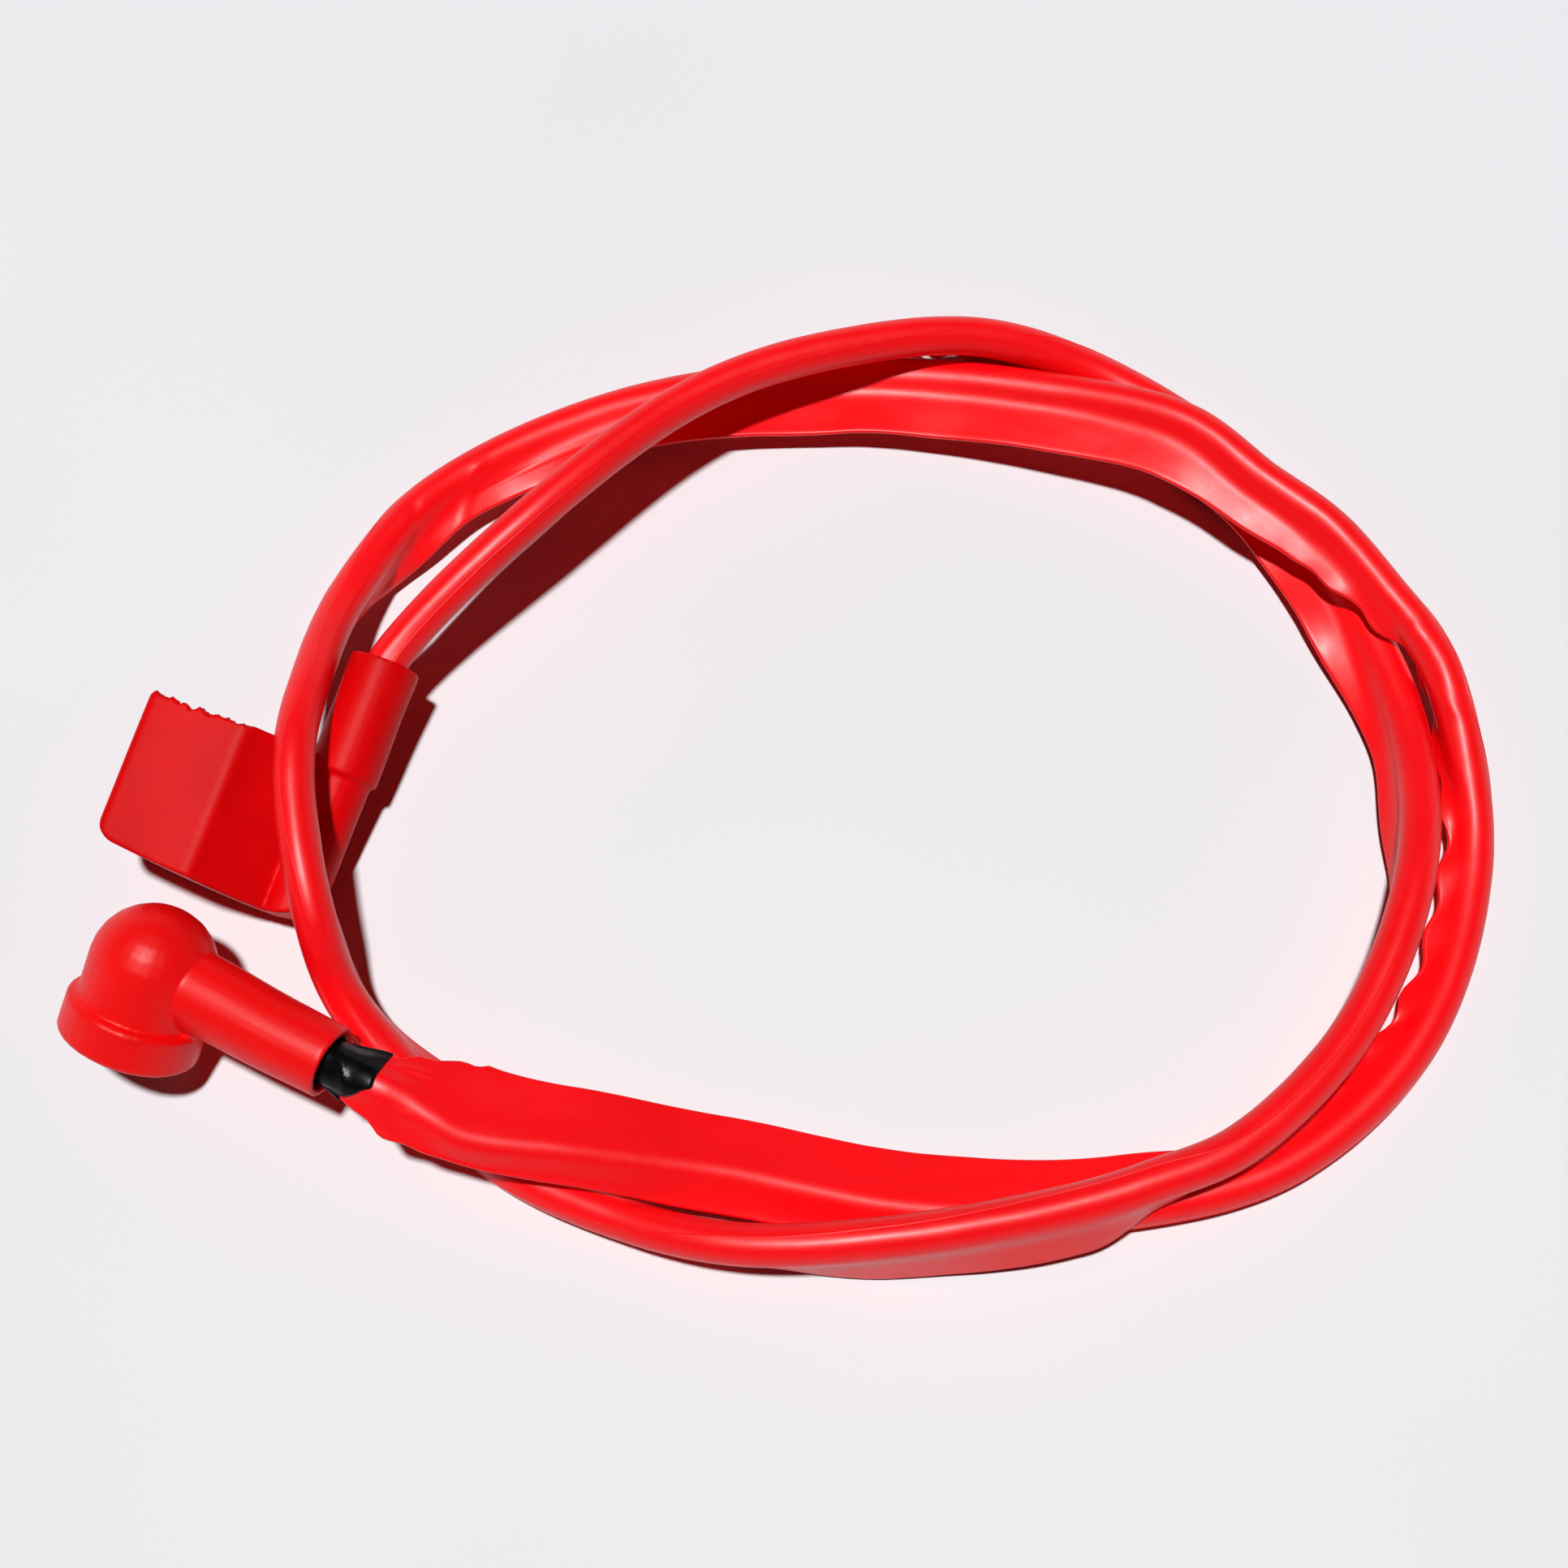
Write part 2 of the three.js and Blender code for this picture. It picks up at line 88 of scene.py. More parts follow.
# Where the two ends sit: lengths in metres, turns in degrees
coverEnd = {
    "place": (-0.10725, -0.01099, 0.0001),
    "yaw": -20.2,
    "pitch": 11.3,
    "tubeAcross": 0.0299,
    "tubeUp": 0.0059,
    "hoodLength": 0.0236,
    "collarEnd": 0.0415,
    "collarStart": 0.0218,
    "lugStart": 0.0055,
}
bootEnd = {
    "place": (-0.0980, -0.0358, 0.0167),
    "heading": -27.9,
    "rise": 2,
    "lean": -54.3,
    "spoutDrop": 0.0005,
    "spoutReach": 0.0325,
    "lugStart": 0.007,
}


def turn(degrees, axis):
    return Matrix.Rotation(math.radians(degrees), 4, axis)


coverMatrix = (
    Matrix.Translation(coverEnd["place"])
    @ turn(coverEnd["yaw"], "Z")
    @ turn(coverEnd["pitch"], "X")
)
bootMatrix = (
    Matrix.Translation(bootEnd["place"])
    @ turn(bootEnd["heading"], "Z")
    @ turn(-bootEnd["rise"], "Y")
    @ turn(bootEnd["lean"], "X")
)

# The lead's free run from the cover's collar to the tape, in metres: the wire's centre, the turn of
# the sleeve's fin in degrees, the fin's reach and the other edge's reach
freeRun = [
    (-0.0430, 0.0385, 0.0204, -125, 0.0095, 0.0034),
    (-0.0146, 0.0633, 0.0184, -130, 0.0115, 0.0034),
    (0.0101, 0.0735, 0.0158, -124, 0.0120, 0.0034),
    (0.0338, 0.0775, 0.0116, -98, 0.0100, 0.0034),
    (0.0554, 0.0729, 0.0050, -25, 0.0090, 0.0034),
    (0.0788, 0.0555, 0.0037, -2, 0.0098, 0.0034),
    (0.0941, 0.0304, 0.0037, 0, 0.0096, 0.0034),
    (0.1007, 0.0044, 0.0064, -34, 0.0069, 0.0034),
    (0.0975, -0.0205, 0.0122, -85, 0.0100, 0.0034),
    (0.0855, -0.0456, 0.0128, -90, 0.0096, 0.0034),
    (0.0676, -0.0628, 0.0132, -95, 0.0052, 0.0034),
    (0.0547, -0.0682, 0.0132, -124, 0.0060, 0.0034),
    (0.0428, -0.0718, 0.0128, -126, 0.0104, 0.0034),
    (0.0148, -0.0766, 0.0119, -110, 0.0115, 0.0034),
    (-0.0094, -0.0770, 0.0093, -98, 0.0084, 0.0034),
    (-0.0292, -0.0713, 0.0050, -48, 0.0062, 0.0034),
    (-0.0459, -0.0627, 0.0040, -8, 0.0085, 0.0034),
    (-0.0687, -0.0403, 0.0106, -38, 0.0046, 0.0034),
    (-0.0735, -0.0280, 0.0200, -80, 0.0075, 0.0034),
    (-0.0770, -0.0106, 0.0232, -55, 0.0050, 0.0034),
    (-0.0774, -0.0012, 0.0232, -68, 0.0039, 0.0034),
    (-0.0768, 0.0081, 0.0202, -100, 0.0060, 0.0034),
    (-0.0731, 0.0301, 0.0100, -84, 0.0068, 0.0034),
    (-0.0606, 0.0506, 0.0056, -6, 0.0074, 0.0034),
    (-0.0302, 0.0678, 0.0042, 12, 0.0100, 0.0034),
    (0.0076, 0.0743, 0.0040, 6, 0.0119, 0.0034),
    (0.0436, 0.0692, 0.0081, 2, 0.0118, 0.0034),
    (0.0663, 0.0610, 0.0119, -5, 0.0112, 0.0034),
    (0.0787, 0.0502, 0.0118, -6, 0.0092, 0.0034),
    (0.0891, 0.0419, 0.0112, -8, 0.0085, 0.0034),
    (0.0985, 0.0294, 0.0104, -4, 0.0056, 0.0034),
    (0.1033, 0.0222, 0.0099, -20, 0.0036, 0.0034),
    (0.1067, 0.0149, 0.0084, -60, 0.0042, 0.0034),
    (0.1095, -0.0129, 0.0039, 15, 0.0052, 0.0034),
    (0.0987, -0.0431, 0.0036, 5, 0.0055, 0.0034),
    (0.0766, -0.0634, 0.0036, 0, 0.0060, 0.0034),
    (0.0500, -0.0706, 0.0036, 0, 0.0083, 0.0034),
    (0.0190, -0.0707, 0.0038, 3, 0.0086, 0.0060),
    (-0.0121, -0.0655, 0.0070, 4, 0.0086, 0.0064),
    (-0.0341, -0.0635, 0.0117, 5, 0.0098, 0.0052),
    (-0.0497, -0.0618, 0.0146, 5, 0.0113, 0.0043),
    (-0.0542, -0.0594, 0.0158, 3, 0.0099, 0.0054),
    (-0.0586, -0.0568, 0.0169, 0, 0.0072, 0.0066),
]

# The lead's layers
lead = {
    "gathered": 0.0034,  # reach of the sleeve's edges where it is gathered
    "flared": 0.005,  # and at the tape's end, where it spreads again
    "straightOut": 0.008,  # stretch at each mouth where the lead is straight
    "barrelLength": 0.009,
    "barrelGrip": 0.008,
    "sleeveIntoCollar": 0.010,
    "sleeveIntoBoot": 0.003,
    "bulge": 0.0033,  # the sleeve's outer radius over the wire
    "bore": 0.0028,
    "film": 0.00045,  # half the thickness of the flat fin
    "wire": 0.00245,
    "copper": 0.00148,
    "roundSides": 24,
}


class Route:
    # Smooth curve through all the points, measured along its length
    def __init__(self, points, lies):
        self.points = points
        self.lies = lies
        self.samples = [(0.0, 0.0)]
        last = self.at(0.0)
        samplesPerSpan = 40
        for i in range(1, samplesPerSpan * (len(points) - 1) + 1):
            place = i / samplesPerSpan
            here = self.at(place)
            self.samples.append((place, self.samples[-1][1] + (here - last).length))
            last = here
        self.length = self.samples[-1][1]

    def at(self, place):
        points = self.points
        i = min(int(place), len(points) - 2)
        share = place - i
        b, c = points[i], points[i + 1]
        a = points[i - 1] if i > 0 else b * 2 - c
        d = points[i + 2] if i + 2 < len(points) else c * 2 - b
        first, middle, final = (math.sqrt((q - p).length) for p, q in ((a, b), (b, c), (c, d)))
        leave = (b - a) / first - (c - a) / (first + middle) + (c - b) / middle
        arrive = (c - b) / middle - (d - b) / (middle + final) + (d - c) / final
        leave, arrive = leave * middle, arrive * middle
        return (
            b * (2 * share**3 - 3 * share**2 + 1)
            + leave * (share**3 - 2 * share**2 + share)
            + c * (3 * share**2 - 2 * share**3)
            + arrive * (share**3 - share**2)
        )

    def placeOf(self, distance):
        low, high = 0, len(self.samples) - 1
        while high - low > 1:
            middle = (low + high) // 2
            if self.samples[middle][1] <= distance:
                low = middle
            else:
                high = middle
        (p, s), (q, t) = self.samples[low], self.samples[high]
        return p + (q - p) * min(max((distance - s) / (t - s), 0), 1)

    def station(self, distance):
        place = self.placeOf(distance)
        step = 0.002
        top = len(self.points) - 1
        ahead = self.at(min(place + step, top)) - self.at(max(place - step, 0))
        along = ahead.normalized()
        inward = along.cross(Vector((0, 0, 1))).normalized()
        lift = inward.cross(along)
        i = min(int(place), len(self.lies) - 2)
        share = place - i
        blend = share * share * (3 - 2 * share)
        angle, fin, heel = (p + (q - p) * blend for p, q in zip(self.lies[i], self.lies[i + 1]))
        angle = math.radians(angle)
        return {
            "distance": distance,
            "centre": self.at(place),
            "finward": inward * math.cos(angle) + lift * math.sin(angle),
            "upright": lift * math.cos(angle) - inward * math.sin(angle),
            "fin": fin,
            "heel": heel,
        }


def onTube(y):
    return coverMatrix @ Vector((coverEnd["tubeAcross"], y, coverEnd["tubeUp"]))


def onSpout(x):
    return bootMatrix @ Vector((x, 0, -bootEnd["spoutDrop"]))


crimp = lead["barrelLength"] - lead["barrelGrip"]
batteryEnd = coverEnd["lugStart"] + crimp
starterEnd = bootEnd["lugStart"] + crimp
straightOut = lead["straightOut"]


def buildRoute():
    reach = bootEnd["spoutReach"]
    collar = coverEnd["collarEnd"]
    tube = (batteryEnd, coverEnd["collarStart"], collar - straightOut, collar)
    spout = (reach + straightOut, reach, reach - straightOut, starterEnd)
    tubePoints = [onTube(y) for y in tube]
    spoutPoints = [onSpout(x) for x in spout]
    points = tubePoints + [Vector(entry[:3]) for entry in freeRun] + spoutPoints
    gathered = (lead["gathered"], lead["gathered"])
    lies = [(freeRun[0][3], *gathered)] * len(tube)
    lies += [entry[3:] for entry in freeRun]
    lies += [(freeRun[-1][3], lead["flared"], lead["flared"])]
    lies += [(freeRun[-1][3], *gathered)] * (len(spout) - 1)
    return Route(points, lies)


route = buildRoute()
collarMouth = coverEnd["collarEnd"] - batteryEnd
spoutMouth = route.length - (bootEnd["spoutReach"] - starterEnd)
sleeveStart = collarMouth - lead["sleeveIntoCollar"]
sleeveEnd = spoutMouth + lead["sleeveIntoBoot"]
print("route", round(route.length, 4), "sleeve", round(sleeveEnd - sleeveStart, 4))


def ease(low, high, value):
    share = min(max((value - low) / (high - low), 0), 1)
    return share * share * (3 - 2 * share)


def tableValue(table, value):
    for (low, first), (high, second) in zip(table, table[1:]):
        if value <= high:
            return first + (second - first) * ease(low, high, value)
    return table[-1][1]


# Sleeve: flat tubing that is round over the wire and drawn to a thin fin beside it. Its dictionary
# is in mm, along the lead from the battery's crimp and across it from the wire's middle.
sleeveShape = {
    "stationGap": 1.2,
    "filletMost": 3.2,
    "reachMost": 11.9,
    "evenOver": (-6, -3, 0, 3, 6),  # the sheet's turn is evened out over this stretch
    "fade": 7,  # waves and scallops come and go over this much
    "finSteps": 18,
    "heelSteps": 5,
    "arcSteps": 12,
    # how straight the sleeve is drawn from the wire to its edge
    "taut": [
        (0, 0.6), (100, 0.55), (200, 0.35), (260, 0.3), (300, 0.4), (360, 0.8), (520, 0.6),
        (600, 0.4), (630, 0.3), (750, 0.3), (790, 0.6), (860, 0.85), (1050, 0.9),
    ],
    # stretches where the fin's edge waves up and down: from, to, wave length, height
    "waves": [
        (118, 168, 7.4, 0.7),
        (205, 290, 21, 0.25),
        (640, 750, 26, 0.2),
        (755, 850, 16, 0.25),
        (850, 900, 9, 0.5),
    ],
    # stretches where the fin is now wider, now narrower
    "scallops": [
        (122, 166, 7.4, 0.5),
        (768, 900, 11.5, 0.6),
    ],
    # creases: from (along, across) to (along, across), half width, height
    "folds": [
        (597, -2.6, 590, 5.4, 0.8, -0.3),
        (601, 6.6, 609, 1.0, 0.6, 0.2),
        (609, 1.0, 613, 4.4, 0.6, 0.12),
        (589, 5.4, 582, 6.2, 0.8, 0.25),
        (674, -2.7, 694, -2.3, 0.5, 0.16),
        (694, -2.3, 716, -2.0, 0.5, 0.16),
        (784, 4.2, 790, -0.6, 0.8, 0.2),
        (793, 3.4, 803, -1.8, 0.8, 0.2),
        (803, 0.6, 814, 1.8, 0.7, 0.15),
        (501, -2.2, 489, -2.6, 0.6, 0.25),
        (488, 2.6, 501, 5.0, 0.9, 0.2),
        (1036, 2.9, 1027, 4.9, 0.6, 0.25),
        (1034, -4.8, 1026, -2.2, 0.6, 0.3),
    ],
    "foldFades": 3,  # a crease is gone this far from its ends
    # stretches where the fin's outer part turns at a crease: from, to, share of reach, degrees.
    # Past its own crease the second one replaces what the first did.
    "bends": [(606, 652, 0.55, -20), (470, 500, 0.6, -12)],
    "bendFade": 5,
    "drift": 0.45,  # slow lift and fall of the edges
    "ripple": 0.09,
    "grain": 0.04,
    # puckers at the two mouths: number round, height, how far they run
    "puckers": [(8, 0.12, 6), (5, 0.16, 7)],
    "puckerRuns": 3.5,
    "puckerTurn": 0.12,
}


def within(start, end, fade, at):
    # 1 inside a stretch and 0 outside it, eased at both ends
    return ease(start - fade, start + fade, at) * (1 - ease(end - fade, end + fade, at))


def sleeveStation(distance):
    # The sheet turns more evenly along the lead than the wire does
    shape = sleeveShape
    at = distance / mm
    near = [route.station(distance + step * mm) for step in shape["evenOver"]]
    before, station, after = near[1:4]
    along = after["centre"] - before["centre"]
    finward = sum((other["finward"] for other in near), Vector())
    finward -= along * (finward.dot(along) / along.length_squared)
    station["finward"] = finward.normalized()
    station["upright"] = station["finward"].cross(along).normalized()
    for start, end, length, size in shape["scallops"]:
        wobble = math.sin(2 * math.pi * at / length) + 0.4 * math.sin(2.6 * at / length + 1)
        station["fin"] += within(start, end, shape["fade"], at) * size * mm * wobble
    station["fin"] = min(max(station["fin"], lead["gathered"]), shape["reachMost"] * mm)
    station["taut"] = tableValue(shape["taut"], at)
    station["at"] = at
    return station


def flank(reach, taut, steps):
    # One side of the outline, from its edge to where it lies on the wire
    radius = lead["bulge"]
    reach = max(reach, radius + 0.05 * mm)
    film = min(lead["film"], (reach - radius) * 0.9)
    edge = reach - film
    touch = math.atan2(film, edge) + math.acos(radius / math.hypot(edge, film))
    startA, startB = radius * math.cos(touch), radius * math.sin(touch)
    fillet = (edge * edge - radius * radius + film * film) / (2 * (radius - film))
    fillet = min(fillet, sleeveShape["filletMost"] * mm)
    foot = math.sqrt(radius * radius - film * film + 2 * fillet * (radius - film))
    meet = radius * math.cos(math.atan2(film + fillet, foot))
    points = []
    for i in range(3):
        angle = math.pi / 6 * i
        points.append((edge + film * math.cos(angle), film * math.sin(angle)))
    for i in range(steps):
        a = edge + (startA - edge) * i / steps
        line = film + (startB - film) * i / steps
        if a <= meet:
            pressed = math.sqrt(radius * radius - a * a)
        elif a < foot:
            pressed = film + fillet - math.sqrt(max(fillet * fillet - (foot - a) ** 2, 0))
        else:
            pressed = film
        points.append((a, taut * line + (1 - taut) * pressed))
    return points, touch


def sleeveRing(station):
    shape = sleeveShape
    fin, finTouch = flank(station["fin"], station["taut"], shape["finSteps"])
    heel, heelTouch = flank(station["heel"], station["taut"], shape["heelSteps"])
    arc = []
    for i in range(shape["arcSteps"] + 1):
        angle = finTouch + (math.pi - finTouch - heelTouch) * i / shape["arcSteps"]
        arc.append((lead["bulge"] * math.cos(angle), lead["bulge"] * math.sin(angle)))
    upper = fin + arc + [(-a, b) for a, b in reversed(heel)]
    lower = [(a, -b) for a, b in reversed(upper[1:-1])]
    return upper + lower


def distanceToLine(x, y, x0, y0, x1, y1):
    alongX, alongY = x1 - x0, y1 - y0
    share = ((x - x0) * alongX + (y - y0) * alongY) / (alongX * alongX + alongY * alongY)
    share = min(max(share, 0), 1)
    return math.hypot(x - x0 - alongX * share, y - y0 - alongY * share)


def foldsNear(at):
    fade = sleeveShape["foldFades"]
    return [f for f in sleeveShape["folds"] if min(f[0], f[2]) - fade < at < max(f[0], f[2]) + fade]


def foldHeight(folds, at, across):
    height = 0.0
    for *line, width, size in folds:
        height += size * math.exp(-((distanceToLine(at, across, *line) / width) ** 2))
    return height


def finLift(at, across, reach):
    # How far the thin side stands off its own plane, in mm
    shape = sleeveShape
    bulge = lead["bulge"] / mm
    past = (abs(across) - bulge) / max(reach - bulge, 0.5)
    if past <= 0:
        return 0.0
    side = 3.7 if across > 0 else 9.1  # the two sides drift apart
    edgeLift = shape["drift"] * noise.noise(Vector((at * 0.055, side, 0.5)))
    if across > 0:
        for start, end, length, size in shape["waves"]:
            wave = math.sin(2 * math.pi * at / length) + 0.5 * math.sin(3.7 * at / length)
            edgeLift += within(start, end, shape["fade"], at) * size * wave
    ripple = shape["ripple"] * noise.noise(Vector((at / 8, across / 4, 2.2)))
    return (edgeLift * past**1.5 + ripple * min(past * 3, 1)) * ease(0, 2, reach - bulge)


def puckerHeight(at, angle):
    shape = sleeveShape
    ends = (at - collarMouth / mm, spoutMouth / mm - at)
    height = 0.0
    for (count, size, run), away in zip(shape["puckers"], ends):
        if away < shape["puckerRuns"] * run:
            fade = math.exp(-max(away, 0) / run)
            height += size * fade * math.cos(count * angle + shape["puckerTurn"] * away)
    return height


def sleevePoint(station, a, b, folds):
    # Where the outline's point (a, b) lies once the sleeve's waves, creases and puckers are added
    shape = sleeveShape
    at, across = station["at"], a / mm
    finward, upright = station["finward"], station["upright"]
    reach = (station["fin"] if a > 0 else station["heel"]) / mm
    out = (finward * a + upright * b).normalized()
    lift = finLift(at, across, reach)
    if b > 0:
        lift += foldHeight(folds, at, across)
    swell = puckerHeight(at, math.atan2(b, a))
    swell += shape["grain"] * noise.noise(Vector((at * 0.16, math.atan2(b, a) * 1.2, 0.0)))
    bentA, bentB = a, b
    for start, end, share, degrees in shape["bends"]:
        hinge = share * station["fin"]
        if a > hinge:
            angle = math.radians(degrees) * within(start, end, shape["bendFade"], at)
            bentA = hinge + (a - hinge) * math.cos(angle)
            bentB = b + (a - hinge) * math.sin(angle)
    point = station["centre"] + finward * bentA + upright * (bentB + lift * mm) + out * swell * mm
    point.z = max(point.z, floorGap)
    return point


def tubeMesh(name, rings):
    # Joins rings of points, in turn, into an open tube
    mesh = bpy.data.meshes.new(name)
    vertices = [tuple(point) for ring in rings for point in ring]
    sides = len(rings[0])
    faces = []
    for k in range(len(rings) - 1):
        for i in range(sides):
            j = (i + 1) % sides
            faces.append((k * sides + i, (k + 1) * sides + i, (k + 1) * sides + j, k * sides + j))
    mesh.from_pydata(vertices, [], faces)
    made = bpy.data.objects.new(name, mesh)
    bpy.context.scene.collection.objects.link(made)
    return made


def addFlowMap(made, sides, distances):
    # UV: along the lead in U, round it in V
    mesh = made.data
    layer = mesh.uv_layers.new(name="flow")
    for polygon in mesh.polygons:
        corners = [mesh.loops[i].vertex_index for i in polygon.loop_indices]
        places = [v % sides for v in corners]
        seam = 0 in places and sides - 1 in places
        for loop, vertex, i in zip(polygon.loop_indices, corners, places):
            turned = sides if seam and i == 0 else i
            layer.data[loop].uv = (distances[vertex // sides] * 10, turned / sides)


def distancesBetween(start, end, gap):
    count = max(int(round((end - start) / gap)), 2)
    return [start + (end - start) * i / count for i in range(count + 1)]


def smoothShade(made):
    for polygon in made.data.polygons:
        polygon.use_smooth = True


def pickOnly(*pieces):
    bpy.ops.object.select_all(action="DESELECT")
    for piece in pieces:
        piece.select_set(True)
    bpy.context.view_layer.objects.active = pieces[0]


def outFrom(station, angle):
    return station["finward"] * math.cos(angle) + station["upright"] * math.sin(angle)


def roundRing(station, radius):
    angles = [2 * math.pi * i / lead["roundSides"] for i in range(lead["roundSides"])]
    return [station["centre"] + outFrom(station, angle) * radius for angle in angles]


def buildSleeve():
    distances = distancesBetween(sleeveStart, sleeveEnd, sleeveShape["stationGap"] * mm)
    outer = []
    for distance in distances:
        station = sleeveStation(distance)
        folds = foldsNear(station["at"])
        outer.append([sleevePoint(station, a, b, folds) for a, b in sleeveRing(station)])
    made = tubeMesh("red_sleeve", outer)
    addFlowMap(made, len(outer[0]), distances)
    everyFourth = distances[::4]
    if everyFourth[-1] != distances[-1]:
        everyFourth.append(distances[-1])
    bore = [roundRing(route.station(distance), lead["bore"]) for distance in everyFourth]
    inside = tubeMesh("sleeve_bore", bore)
    addFlowMap(inside, lead["roundSides"], everyFourth)
    pickOnly(made, inside)
    bpy.ops.object.join()
    closeWall(made)
    smoothShade(made)
    return made


def closeWall(made):
    # Closes the wall at each end of the sleeve, between the outline and the bore
    bm = bmesh.new()
    bm.from_mesh(made.data)
    start = route.station(sleeveStart)["centre"]
    mouthSize = 8 * mm
    rims = [edge for edge in bm.edges if edge.is_boundary]
    near = [edge for edge in rims if (edge.verts[0].co - start).length < mouthSize]
    far = [edge for edge in rims if (edge.verts[0].co - start).length >= mouthSize]
    for loop in (near, far):
        bmesh.ops.bridge_loops(bm, edges=loop)
    bmesh.ops.recalc_face_normals(bm, faces=bm.faces)
    bm.to_mesh(made.data)
    bm.free()


sleeve = buildSleeve()
print("sleeve built:", len(sleeve.data.polygons), "faces")


def buildRod(name, start, end, gap, ringAt):
    # A solid rod along the lead, with an outline that may change along it
    distances = distancesBetween(start, end, gap)
    rings = [ringAt(route.station(distance)) for distance in distances]
    made = tubeMesh(name, rings)
    sides = len(rings[0])
    addFlowMap(made, sides, distances)
    bm = bmesh.new()
    bm.from_mesh(made.data)
    bm.verts.ensure_lookup_table()
    for first in (0, (len(rings) - 1) * sides):
        bm.faces.new([bm.verts[first + i] for i in range(sides)])
    bmesh.ops.recalc_face_normals(bm, faces=bm.faces)
    bm.to_mesh(made.data)
    bm.free()
    smoothShade(made)
    return made


def wireRing(station):
    return roundRing(station, lead["wire"])


# Bare conductor: strands laid round each other
strands = {"count": 9, "groove": 0.09, "lay": 0.022, "steps": 45}


def strandRing(station):
    twist = 2 * math.pi * station["distance"] / strands["lay"]
    ring = []
    for i in range(strands["steps"]):
        angle = 2 * math.pi * i / strands["steps"]
        groove = strands["groove"] * (1 - abs(math.cos(strands["count"] / 2 * (angle - twist))))
        ring.append(station["centre"] + outFrom(station, angle) * lead["copper"] * (1 - groove))
    return ring


bareEnd = lead["barrelGrip"]
wire = buildRod("lead_wire", bareEnd + 0.0003, route.length - bareEnd - 0.0003, 4 * mm, wireRing)
copper = buildRod("copper_strands", 0.0, route.length, 2.5 * mm, strandRing)
print("wire and copper built")


# Tape: one turn of electrical tape round the sleeve's end, cut askew, with a pinched ridge. Its
# dictionary is in mm.
tape = {
    "hidden": 5,
    "thickness": 0.4,
    "clear": 0.12,
    "rows": 26,
    "halfWidth": 5,
    "mapGap": 0.5,
    "outlineBefore": 4,  # its outline is the sleeve's this far before the spout's mouth
    # how far it shows past the boot, by place across
    "shown": [(-1, 4.8), (-0.75, 3.6), (-0.5, 6.6), (-0.25, 7.8), (0.2, 7.6), (0.6, 7.6), (1, 8.0)],
    # ridge: from (mm past the boot, place across) to (mm past the boot, place across)
    "ridge": (0.2, 0.8, 4.6, -0.62),
    "ridgeWidth": 0.5,
    "ridgeHeight": 0.35,
}


def tapePoint(distance, i, outer):
    station = sleeveStation(distance)
    a, b = sleeveRing(station)[i]
    point = sleevePoint(station, a, b, foldsNear(station["at"]))
    out = (station["finward"] * a + station["upright"] * b) / math.hypot(a, b)
    if not outer:
        return point + out * (tape["clear"] * mm)
    grown = tape["clear"] + tape["thickness"]
    if b > 0:
        across = a / (station["fin"] if a > 0 else station["heel"])
        past = (spoutMouth - distance) / mm
        wide = tape["halfWidth"]
        x0, y0, x1, y1 = tape["ridge"]
        away = distanceToLine(past, across * wide, x0, y0 * wide, x1, y1 * wide)
        grown += tape["ridgeHeight"] * math.exp(-((away / tape["ridgeWidth"]) ** 2))
    return point + out * (grown * mm)


def buildTape():
    mouth = sleeveRing(sleeveStation(spoutMouth - tape["outlineBefore"] * mm))
    end = spoutMouth + tape["hidden"] * mm
    columns = []
    for a, b in mouth:
        start = spoutMouth - tableValue(tape["shown"], a / lead["flared"]) * mm
        columns.append(distancesBetween(start, end, (end - start) / tape["rows"]))
    rows = range(tape["rows"] + 1)
    sides = len(mouth)
    outside = [[tapePoint(columns[i][k], i, True) for i in range(sides)] for k in rows]
    inside = [[tapePoint(columns[i][k], i, False) for i in range(sides)] for k in rows]
    rings = outside + inside[::-1] + outside[:1]
    made = tubeMesh("black_tape", rings)
    addFlowMap(made, sides, [tape["mapGap"] * mm * i for i in range(len(rings))])
    pickOnly(made)
    bpy.ops.object.mode_set(mode="EDIT")
    bpy.ops.mesh.select_all(action="SELECT")
    bpy.ops.mesh.remove_doubles(threshold=0.000005)
    bpy.ops.mesh.normals_make_consistent(inside=False)
    bpy.ops.object.mode_set(mode="OBJECT")
    smoothShade(made)
    return made


blackTape = buildTape()
print("tape built")


# Moulded ends: softened copies of the CAD shells
moulding = {
    "voxel": 0.00036,
    "smoothing": 4,
    "factor": 0.5,
    "dent": 0.22,  # how far the surface wanders, in mm
    "dentsPerMetre": 75,
}
# The cover's torn rim, in mm
tear = {
    "reach": 1.4,
    "deepest": 0.2,  # from this far behind the rim on it has its full depth
    "depth": 0.75,
    "pitch": 1.5,
    "fine": 1.7,
    "fineShare": 0.6,
    "inward": 0.35,
    "across": 17.5,  # the tear ends here, just past the box's side at the tube
}


